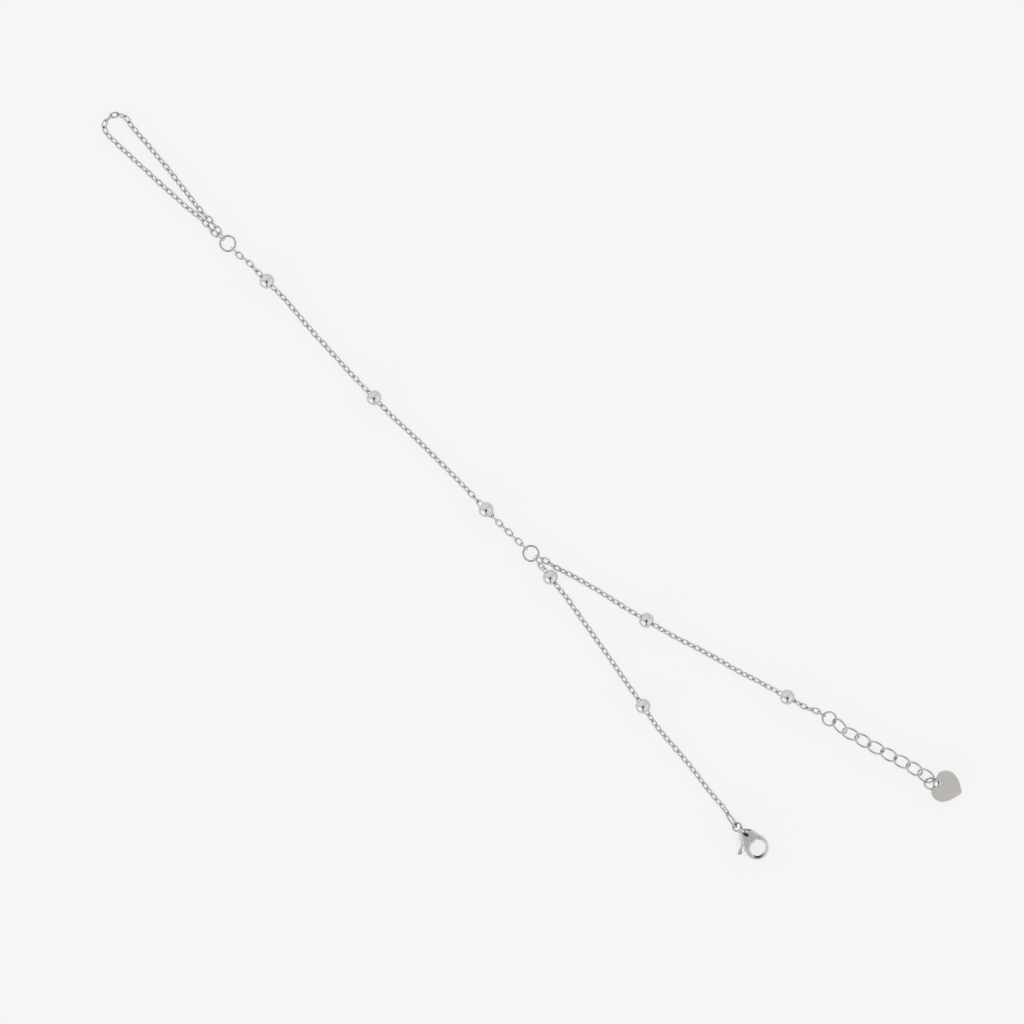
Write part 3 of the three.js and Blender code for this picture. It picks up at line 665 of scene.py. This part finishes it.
def material(name, base, roughness, spread=0.06, noise=900.0, scratch=0.05, grain=0.0, edge=0.0, crevice_shade=0.0, reach=0.25):
    """Steel with fine scratches, uneven polish, a little wear and, where asked, painted shade in its crevices. Scales
    are per metre.
    """
    m = bpy.data.materials.new(name)
    m.use_nodes = True
    t = m.node_tree
    n, link = t.nodes, t.links
    shader = next(x for x in n if x.type == "BSDF_PRINCIPLED")
    shader.inputs["Metallic"].default_value = 1.0
    where = n.new("ShaderNodeTexCoord")

    cloud = n.new("ShaderNodeTexNoise")
    cloud.inputs["Scale"].default_value = noise
    cloud.inputs["Detail"].default_value = 5.0
    cloud.inputs["Roughness"].default_value = 0.6
    link.new(where.outputs["Object"], cloud.inputs["Vector"])

    rough = n.new("ShaderNodeMapRange")
    rough.inputs["From Min"].default_value = 0.3
    rough.inputs["From Max"].default_value = 0.7
    rough.inputs["To Min"].default_value = max(0.02, roughness - spread)
    rough.inputs["To Max"].default_value = roughness + spread
    link.new(cloud.outputs["Fac"], rough.inputs["Value"])
    link.new(rough.outputs["Result"], shader.inputs["Roughness"])

    tint = n.new("ShaderNodeMix")
    tint.data_type = "RGBA"
    tint.inputs["A"].default_value = (base[0] * 0.93, base[1] * 0.925, base[2] * 0.915, 1)
    tint.inputs["B"].default_value = (min(base[0] * 1.05, 1), min(base[1] * 1.05, 1), min(base[2] * 1.06, 1), 1)
    big = n.new("ShaderNodeTexNoise")
    big.inputs["Scale"].default_value = noise * 0.35
    big.inputs["Detail"].default_value = 3.0
    link.new(where.outputs["Object"], big.inputs["Vector"])
    link.new(big.outputs["Fac"], tint.inputs["Factor"])
    colour = tint.outputs["Result"]

    if edge:
        geometry = n.new("ShaderNodeNewGeometry")
        worn = n.new("ShaderNodeMapRange")
        worn.inputs["From Min"].default_value = 0.5
        worn.inputs["From Max"].default_value = 0.62
        worn.inputs["To Min"].default_value = 0.0
        worn.inputs["To Max"].default_value = edge
        link.new(geometry.outputs["Pointiness"], worn.inputs["Value"])
        mix = n.new("ShaderNodeMix")
        mix.data_type = "RGBA"
        mix.inputs["B"].default_value = (0.74, 0.735, 0.73, 1)
        link.new(worn.outputs["Result"], mix.inputs["Factor"])
        link.new(colour, mix.inputs["A"])
        colour = mix.outputs["Result"]
    if crevice_shade:
        # painted shade: the colour darkens by ambient occlusion where pieces lie close together
        close = n.new("ShaderNodeAmbientOcclusion")
        close.samples = 4
        close.inputs["Distance"].default_value = reach * MM
        open_share = n.new("ShaderNodeMapRange")
        open_share.interpolation_type = "SMOOTHSTEP"
        open_share.inputs["From Min"].default_value = 0.35
        open_share.inputs["From Max"].default_value = 0.92
        open_share.inputs["To Min"].default_value = crevice_shade
        open_share.inputs["To Max"].default_value = 0.0
        link.new(close.outputs["AO"], open_share.inputs["Value"])
        mix = n.new("ShaderNodeMix")
        mix.data_type = "RGBA"
        mix.inputs["B"].default_value = (0.07, 0.068, 0.066, 1)
        link.new(open_share.outputs["Result"], mix.inputs["Factor"])
        link.new(colour, mix.inputs["A"])
        colour = mix.outputs["Result"]
    link.new(colour, shader.inputs["Base Color"])

    height = None
    if scratch:
        stretch = n.new("ShaderNodeMapping")
        stretch.inputs["Rotation"].default_value = (0.3, 0.2, 0.7)
        stretch.inputs["Scale"].default_value = (1.0, 14.0, 6.0)
        link.new(where.outputs["Object"], stretch.inputs["Vector"])
        lines = n.new("ShaderNodeTexNoise")
        lines.inputs["Scale"].default_value = noise * 2.2
        lines.inputs["Detail"].default_value = 6.0
        lines.inputs["Roughness"].default_value = 0.7
        link.new(stretch.outputs["Vector"], lines.inputs["Vector"])
        height = lines.outputs["Fac"]
    bump = n.new("ShaderNodeBump")
    bump.inputs["Strength"].default_value = scratch
    bump.inputs["Distance"].default_value = 0.00002
    link.new(height if height is not None else cloud.outputs["Fac"], bump.inputs["Height"])
    normal = bump.outputs["Normal"]
    if grain:
        pits = n.new("ShaderNodeTexNoise")
        pits.inputs["Scale"].default_value = noise * 6
        pits.inputs["Detail"].default_value = 4.0
        link.new(where.outputs["Object"], pits.inputs["Vector"])
        second = n.new("ShaderNodeBump")
        second.inputs["Strength"].default_value = grain
        second.inputs["Distance"].default_value = 0.00002
        link.new(pits.outputs["Fac"], second.inputs["Height"])
        link.new(normal, second.inputs["Normal"])
        normal = second.outputs["Normal"]
    link.new(normal, shader.inputs["Normal"])
    return m


# the chain and ring steel carry painted shade where wires cross or lie close
WIRE = material("fine_chain_steel", (0.6, 0.592, 0.585), 0.17, spread=0.06, noise=1400, scratch=0.12, crevice_shade=0.95, reach=0.28)
BALL = material("ball_steel", (0.66, 0.654, 0.65), 0.1, spread=0.035, noise=700, scratch=0.035)
RING = material("ring_steel", (0.53, 0.522, 0.516), 0.15, spread=0.05, noise=1200, scratch=0.1, crevice_shade=0.7, reach=0.2)
CAST = material("clasp_steel", (0.725, 0.715, 0.705), 0.42, spread=0.04, noise=1100, scratch=0.14, grain=0.12, edge=0.6)
SHEET = material("tag_steel", (0.645, 0.623, 0.609), 0.36, spread=0.03, noise=800, scratch=0.07, grain=0.2)


def toned(source, name, spots):
    """A copy of the cast steel with softly bounded places of another colour and roughness, which paint shade,
    highlights and darker tones: (centre, radius, colour, roughness).
    """
    m = source.copy()
    m.name = name
    t = m.node_tree
    n, link = t.nodes, t.links
    shader = next(x for x in n if x.type == "BSDF_PRINCIPLED")
    where = next(x for x in n if x.type == "TEX_COORD")
    colour = shader.inputs["Base Color"].links[0].from_socket
    finish = shader.inputs["Roughness"].links[0].from_socket
    for centre, radius, tone, dull in spots:
        away = n.new("ShaderNodeVectorMath")
        away.operation = "DISTANCE"
        away.inputs[1].default_value = centre
        link.new(where.outputs["Object"], away.inputs[0])
        inside = n.new("ShaderNodeMapRange")
        inside.interpolation_type = "SMOOTHSTEP"
        inside.inputs["From Min"].default_value = radius * 0.4
        inside.inputs["From Max"].default_value = radius
        inside.inputs["To Min"].default_value = 1.0
        inside.inputs["To Max"].default_value = 0.0
        link.new(away.outputs["Value"], inside.inputs["Value"])
        mix = n.new("ShaderNodeMix")
        mix.data_type = "RGBA"
        mix.inputs["B"].default_value = (*tone, 1)
        link.new(inside.outputs["Result"], mix.inputs["Factor"])
        link.new(colour, mix.inputs["A"])
        colour = mix.outputs["Result"]
        blend = n.new("ShaderNodeMix")
        blend.data_type = "FLOAT"
        blend.inputs["B"].default_value = dull
        link.new(inside.outputs["Result"], blend.inputs["Factor"])
        link.new(finish, blend.inputs["A"])
        finish = blend.outputs["Result"]
    link.new(colour, shader.inputs["Base Color"])
    link.new(finish, shader.inputs["Roughness"])
    return m


def finish_piece(obj, mat, slot, body, *nodes):
    obj.data.materials.clear()
    obj.data.materials.append(mat)
    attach(obj, body)
    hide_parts(*nodes)
    return obj


# ---------------------------------------------------------------- camera

PIXEL = 0.196  # millimetres a pixel
AIM = Vector((3.02, 8.39, 0.0)) + SHIFT
image_up = Vector((0.699, 0.715, 0.0)).normalized()
image_right = image_up.cross(UP)
camera_data = bpy.data.cameras.new("camera")
camera_data.sensor_width = 36.0
camera_data.sensor_fit = "HORIZONTAL"
DISTANCE = 1500.0
camera_data.lens = 36.0 * DISTANCE / (1024 * PIXEL)
camera = bpy.data.objects.new("camera", camera_data)
bpy.context.scene.collection.objects.link(camera)
turn = Matrix((image_right, image_up, UP)).transposed().to_4x4()
turn.translation = (AIM + UP * DISTANCE) * MM
camera.matrix_world = turn
bpy.context.scene.camera = camera

# ---------------------------------------------------------------- pieces

for seed, (name, chain) in enumerate(CHAINS.items()):
    finish_piece(fine_chain(name + "_links", chain, 11 + seed), WIRE, "chain_steel", "chain", name)

for name, (x, y, heading) in BALLS.items():
    finish_piece(ball(name + "_polished", x, y, heading), BALL, "ball_steel", "chain", name)

for name, ring in RINGS.items():
    points, faces = jump_ring(ring)
    obj = new_object(name + "_wire", to_world(points), faces)
    face_out(obj)
    finish_piece(obj, RING, "ring_steel", "chain", name)

link_points, link_faces = oval_wire(EXTENDER_LENGTH, EXTENDER_WIDTH, EXTENDER_WIRE, 2.15, 20, 84)
for i in range(8):
    a, b = Vector(CROSSINGS[i][:3]), Vector(CROSSINGS[i + 1][:3])
    along = (b - a).normalized()
    side = UP.cross(along).normalized()
    side.rotate(Matrix.Rotation(math.radians(CROSSINGS[i + 1][3]), 3, along))
    matrix = frame_matrix((a + b) / 2, along, side)
    obj = new_object(f"extender_link_{i + 1}_wire", to_world(transformed(link_points, matrix)), link_faces)
    finish_piece(obj, RING, "ring_steel", "chain", f"extender_link_{i + 1}")


def bezier(p0, p1, p2, p3, steps):
    return [
        tuple(
            (1 - t) ** 3 * p0[k] + 3 * (1 - t) ** 2 * t * p1[k] + 3 * (1 - t) * t * t * p2[k] + t**3 * p3[k]
            for k in range(2)
        )
        for t in (i / steps for i in range(steps))
    ]


def heart():
    w, l, c = HEART_HALF_WIDTH, HEART_LENGTH, -HEART_TAB
    half = bezier((c, 0), (c, 0.12 * w), (0, 0.24 * w), (0, 0.43 * w), 12)
    half += bezier((0, 0.43 * w), (0, 0.77 * w), (0.15 * l, w), (0.365 * l, w), 26)
    half += bezier((0.365 * l, w), (0.595 * l, w), (0.83 * l, 0.55 * w), (0.975 * l, 0.08 * w), 30)
    tip = [(0.975 * l, 0.08 * w), (0.984 * l, 0.045 * w), (0.988 * l, 0.0)]
    outline = half + tip + [(x, -y) for x, y in reversed(half[1:] + tip[:-1])]
    hole = [
        (HEART_HOLE_AT + HEART_HOLE / 2 * math.cos(a), HEART_HOLE / 2 * math.sin(a))
        for a in (2 * math.pi * i / 56 for i in range(56))
    ]
    obj = plate("heart_tag_sheet", [outline, hole], HEART_THICKNESS, HEART_EDGE, 4)
    pitch = math.radians(HEART["pitch"])
    along = compass(HEART["heading"]) * math.cos(pitch) - UP * math.sin(pitch)
    side = UP.cross(along).normalized()
    side.rotate(Matrix.Rotation(math.radians(HEART["roll"]), 3, along.normalized()))
    place(obj, frame_matrix(Vector((HEART["x"], HEART["y"], HEART["z"])), along, side))
    face = along.normalized().cross(side.normalized())
    for polygon in obj.data.polygons:
        polygon.use_smooth = abs(polygon.normal.dot(face)) < 0.9995
    return obj


finish_piece(heart(), SHEET, "tag_steel", "chain", "heart_tag")

clasp_matrix = frame_matrix(
    Vector((CLASP["x"], CLASP["y"], CLASP_THICKNESS / 2)), compass(CLASP["heading"]), compass(CLASP["heading"] + 90)
)
RECESS = dict(centre=(2.24, 0.1), half=(0.8, 0.3), turn=16)


def prism(name, outline, low, high):
    """An upright block with the given outline, between two heights."""
    n = len(outline)
    points = [(u, v, low) for u, v in outline] + [(u, v, high) for u, v in outline]
    faces = [tuple(reversed(range(n))), tuple(range(n, 2 * n))]
    faces += [(i, (i + 1) % n, n + (i + 1) % n, n + i) for i in range(n)]
    obj = new_object(name, points, faces, smooth=False)
    face_out(obj)
    return obj


def kept(obj, tool):
    m = obj.modifiers.new("keep", "BOOLEAN")
    m.operation = "INTERSECT"
    m.solver = "EXACT"
    m.object = tool
    applied(obj)
    bpy.data.objects.remove(tool)
    return obj


def shut_clasp(name):
    """The whole outside of the shut clasp in one skin, from which the body and the lever's gate are cut."""
    shell = plate("shell", [closed_spline(CLASP_RIM), closed_spline(CLASP_HOLE)], CLASP_THICKNESS, 0.34, 7)
    eye = lathe_ring("eye", 0.84, 0.215, 0.42, (0, 0))
    return fuse(name, [shell, eye], 0.05, 6)


def recess_tools(scale):
    u, v = RECESS["centre"]
    top = CLASP_THICKNESS / 2
    deep = egg("recess", (u, v, top + 0.02), (RECESS["half"][0] * scale, RECESS["half"][1] * scale, 0.62), RECESS["turn"])
    bowl = egg("bowl", (1.6, 0.5, top + 0.36), (0.86, 0.56, 0.56), 22)
    return deep, bowl


def clasp_body():
    obj = shut_clasp("clasp_body_cast")
    cut(obj, prism("room", GATE_ROOM, -3, 3))
    half = LEVER_THICKNESS / 2 + LEVER_SIDE_GAP
    cut(obj, block("slot", (SLOT[0], -5, -half), (SLOT[1], SLOT_TOP, half)))
    for tool in recess_tools(1.0):
        cut(obj, tool)
    obj = fuse("clasp_body_cast", [obj, rod("pin", PIN_RADIUS, CLASP_THICKNESS - 0.3, PIVOT)], 0.04, 2)
    return place(obj, clasp_matrix)


def clasp_lever():
    gate = kept(shut_clasp("gate"), prism("gate_part", GATE_PART, -3, 3))
    gate.data.transform(Matrix.Diagonal((1, 1, GATE_THICKNESS / CLASP_THICKNESS, 1)))
    blade = plate("blade", [closed_spline(LEVER_OUTLINE, 5)], LEVER_THICKNESS, 0.42, 6)
    knob = plate("knob", [closed_spline(KNOB_OUTLINE, 6)], KNOB_THICKNESS, 0.3, 6)
    obj = fuse("clasp_lever_cast", [blade, knob, gate], 0.04, 2)
    for tool in recess_tools(0.94):
        cut(obj, tool)
    cut(obj, rod("bore", PIN_RADIUS + PIN_GAP, 4, PIVOT))
    remeshed(obj, 0.04, 1)
    return place(obj, clasp_matrix)


def in_row(u, v, z):
    return tuple((clasp_matrix @ Vector((u, v, z)) + SHIFT) * MM)


# the colours of painted shade and of a painted highlight on the clasp
PAINTED_SHADE, PAINTED_HIGHLIGHT = (0.045, 0.042, 0.04), (0.98, 0.98, 0.978)
# painted shade in the deep recess and a darker painted tone on the bright flank above it, a darker tone over the eye,
# painted shade on the inner rims of the hook and the eye, a painted highlight on the thumb tail and a darker tone on
# the knob
recess_spots = [
    (in_row(1.98, 0.02, 0.85), 0.5 * MM, PAINTED_SHADE, 0.4), (in_row(2.45, 0.16, 0.85), 0.54 * MM, PAINTED_SHADE, 0.4),
    (in_row(1.5, 0.62, 1.0), 0.34 * MM, (0.6, 0.592, 0.585), 0.5),
]
# a darker tone over the eye, and painted shade on the inner rims of the hook and the eye
rim_spots = [(in_row(-0.35, 0.0, 0.3), 1.25 * MM, (0.48, 0.472, 0.465), 0.34)]
rim_spots += [
    (in_row(u, v, 1.05), r * MM, (tone, tone * 0.96, tone * 0.92), 0.4)
    for u, v, r, tone in (
        (6.3, -1.68, 0.26, 0.34), (6.47, -1.62, 0.32, 0.2), (6.63, -1.54, 0.36, 0.1), (6.78, -1.43, 0.4, 0.05), (6.92, -1.28, 0.42, 0.045),
        (7.04, -1.12, 0.42, 0.045), (7.13, -0.93, 0.4, 0.05), (7.2, -0.72, 0.37, 0.08), (7.24, -0.5, 0.33, 0.16), (7.26, -0.27, 0.28, 0.32),
    )
]
rim_spots += [
    (in_row(u, v, 0.36), r * MM, (0.06, 0.057, 0.055), 0.4)
    for u, v, r in ((0.74, -0.2, 0.36), (0.72, 0.02, 0.48), (0.68, 0.22, 0.44), (0.58, 0.42, 0.34))
]
# painted highlight: the thumb tail is painted near white, as if it caught the light
tail_spots = [(in_row(u, v, 0.4), 0.8 * MM, PAINTED_HIGHLIGHT, 0.9) for u, v in ((1.6, -1.15), (2.05, -1.6), (2.5, -1.95), (2.9, -2.25))]
tail_spots += [(in_row(u, v, 0.4), 0.6 * MM, PAINTED_HIGHLIGHT, 0.9) for u, v in ((1.3, -1.15), (1.7, -1.75), (2.2, -2.2), (2.7, -2.55))]
# a darker tone on the knob
tail_spots += [(in_row(3.95, -3.2, 0.5), 0.8 * MM, (0.48, 0.472, 0.465), 0.42)]
# painted shade along the shoulder above the recess, which turns away from the light
shoulder_spots = [
    (in_row(0.95 + 1.25 * k / 11, 0.56 + 0.92 * k / 11, 1.0), 0.33 * MM, (0.14, 0.135, 0.13), 0.35) for k in range(12)
]
# the clasp's body and lever steel carry the painted shade and painted highlight above
CAST_BODY = toned(CAST, "clasp_steel_body", shoulder_spots[:3] + recess_spots + rim_spots)
CAST_LEVER = toned(CAST, "clasp_steel_lever", shoulder_spots + recess_spots + tail_spots)
finish_piece(clasp_body(), CAST_BODY, "clasp_steel", "chain", "clasp_body")
finish_piece(clasp_lever(), CAST_LEVER, "clasp_steel", "lever", "clasp_lever")

# ---------------------------------------------------------------- floor and light

floor_mesh = bpy.data.meshes.new("floor")
size = 3.0
floor_mesh.from_pydata([(-size, -size, 0), (size, -size, 0), (size, size, 0), (-size, size, 0)], [], [(0, 1, 2, 3)])
floor = bpy.data.objects.new("floor", floor_mesh)
bpy.context.scene.collection.objects.link(floor)
floor.location.z = -0.00002
paper = bpy.data.materials.new("paper")
paper.use_nodes = True
pt = paper.node_tree
pn, pl = pt.nodes, pt.links
pn.clear()
paper_out = pn.new("ShaderNodeOutputMaterial")
matte = pn.new("ShaderNodeBsdfDiffuse")
matte.inputs["Color"].default_value = (0.86, 0.865, 0.865, 1)
# the sheet is lit from behind, so the shadows that are seen on it stay faint
lit = pn.new("ShaderNodeEmission")
lit.inputs["Color"].default_value = (0.95, 0.955, 0.951, 1)
lit.inputs["Strength"].default_value = 1.0
seen = pn.new("ShaderNodeLightPath")
share = pn.new("ShaderNodeMath")
share.operation = "MULTIPLY"
share.inputs[1].default_value = 0.84
pl.new(seen.outputs["Is Camera Ray"], share.inputs[0])
blend_paper = pn.new("ShaderNodeMixShader")
pl.new(share.outputs[0], blend_paper.inputs["Fac"])
pl.new(matte.outputs["BSDF"], blend_paper.inputs[1])
pl.new(lit.outputs["Emission"], blend_paper.inputs[2])
# in the polished steel the sheet shows dimmer, as it does outside the lit field
dim = pn.new("ShaderNodeEmission")
dim.inputs["Color"].default_value = (1.0, 0.99, 0.98, 1)
dim.inputs["Strength"].default_value = 0.91
mirrored = pn.new("ShaderNodeMath")
mirrored.operation = "MULTIPLY"
mirrored.inputs[1].default_value = 0.85
pl.new(seen.outputs["Is Glossy Ray"], mirrored.inputs[0])
blend_dim = pn.new("ShaderNodeMixShader")
pl.new(mirrored.outputs[0], blend_dim.inputs["Fac"])
pl.new(blend_paper.outputs["Shader"], blend_dim.inputs[1])
pl.new(dim.outputs["Emission"], blend_dim.inputs[2])
pl.new(blend_dim.outputs["Shader"], paper_out.inputs["Surface"])
floor_mesh.materials.append(paper)

world = bpy.data.worlds.new("studio")
bpy.context.scene.world = world
world.use_nodes = True
wt = world.node_tree
wn, wl = wt.nodes, wt.links
wn.clear()
out = wn.new("ShaderNodeOutputWorld")
sky = wn.new("ShaderNodeBackground")
wl.new(sky.outputs["Background"], out.inputs["Surface"])
direction = wn.new("ShaderNodeTexCoord").outputs["Generated"]


def math_node(operation, a, b=None, clamp=False):
    node = wn.new("ShaderNodeMath")
    node.operation = operation
    node.use_clamp = clamp
    for i, value in enumerate((a, b)):
        if value is None:
            continue
        if isinstance(value, (int, float)):
            node.inputs[i].default_value = value
        else:
            wl.new(value, node.inputs[i])
    return node.outputs[0]


def dot_with(vector):
    node = wn.new("ShaderNodeVectorMath")
    node.operation = "DOT_PRODUCT"
    wl.new(direction, node.inputs[0])
    node.inputs[1].default_value = vector
    return node.outputs["Value"]


height = dot_with((0, 0, 1))
ramp = wn.new("ShaderNodeValToRGB")
wl.new(height, ramp.inputs["Fac"])
stops = [(0.0, 0.86), (0.12, 0.95), (0.3, 1.05), (0.55, 1.04), (0.78, 0.98), (0.92, 0.93), (1.0, 0.9)]
ramp.color_ramp.elements[0].position = stops[0][0]
ramp.color_ramp.elements[0].color = (stops[0][1],) * 3 + (1,)
ramp.color_ramp.elements[1].position = stops[-1][0]
ramp.color_ramp.elements[1].color = (stops[-1][1],) * 3 + (1,)
for position, value in stops[1:-1]:
    e = ramp.color_ramp.elements.new(position)
    e.color = (value,) * 3 + (1,)
level = ramp.outputs["Color"]
# a little brighter towards the picture's lower left
slant = dot_with(tuple((image_right + image_up).normalized() * -1))
level = math_node("MULTIPLY", level, math_node("ADD", math_node("MULTIPLY", slant, 0.06), 1.0))


def toward(picture_angle, elevation):
    """A direction by its angle in the picture, anticlockwise from the right, and its height above the surface."""
    a, e = math.radians(picture_angle), math.radians(elevation)
    return (image_right * math.cos(a) + image_up * math.sin(a)) * math.cos(e) + UP * math.sin(e)


def patch(picture_angle, elevation, inner, outer, value):
    """1 away from a round patch of the sky, value inside it."""
    node = wn.new("ShaderNodeMapRange")
    node.interpolation_type = "SMOOTHSTEP"
    node.inputs["From Min"].default_value = math.cos(math.radians(outer))
    node.inputs["From Max"].default_value = math.cos(math.radians(inner))
    node.inputs["To Min"].default_value = 1.0
    node.inputs["To Max"].default_value = value
    wl.new(dot_with(tuple(toward(picture_angle, elevation))), node.inputs["Value"])
    return node.outputs["Result"]


# a dark spot where the lens looks down, the main light at the lower left and a weaker one at the right
for spot in ((270, 76, 10, 21, 0.05), (224, 1, 16, 42, 1.45), (345, 14, 12, 45, 1.12)):
    level = math_node("MULTIPLY", level, patch(*spot))
# thin seams between the light panels
for degrees, depth, width in ((270, 0.55, 0.3), (176, 0.34, 0.2), (48, 0.26, 0.14)):
    heading = toward(degrees, 0)
    near = math_node("ABSOLUTE", dot_with(tuple(UP.cross(heading))))
    ahead = math_node("GREATER_THAN", dot_with(tuple(heading)), 0.0)
    seam = wn.new("ShaderNodeMapRange")
    seam.interpolation_type = "SMOOTHSTEP"
    seam.inputs["From Min"].default_value = width * 0.3
    seam.inputs["From Max"].default_value = width
    seam.inputs["To Min"].default_value = depth
    seam.inputs["To Max"].default_value = 0.0
    wl.new(near, seam.inputs["Value"])
    level = math_node("MULTIPLY", level, math_node("SUBTRACT", 1.0, math_node("MULTIPLY", seam.outputs["Result"], ahead)))
wl.new(level, sky.inputs["Strength"])
sky.inputs["Color"].default_value = (1.0, 1.0, 1.0, 1)

scene = bpy.context.scene
scene.view_settings.view_transform = "Standard"
scene.view_settings.look = "None"
scene.view_settings.exposure = 0.0
scene.view_settings.gamma = 1.0
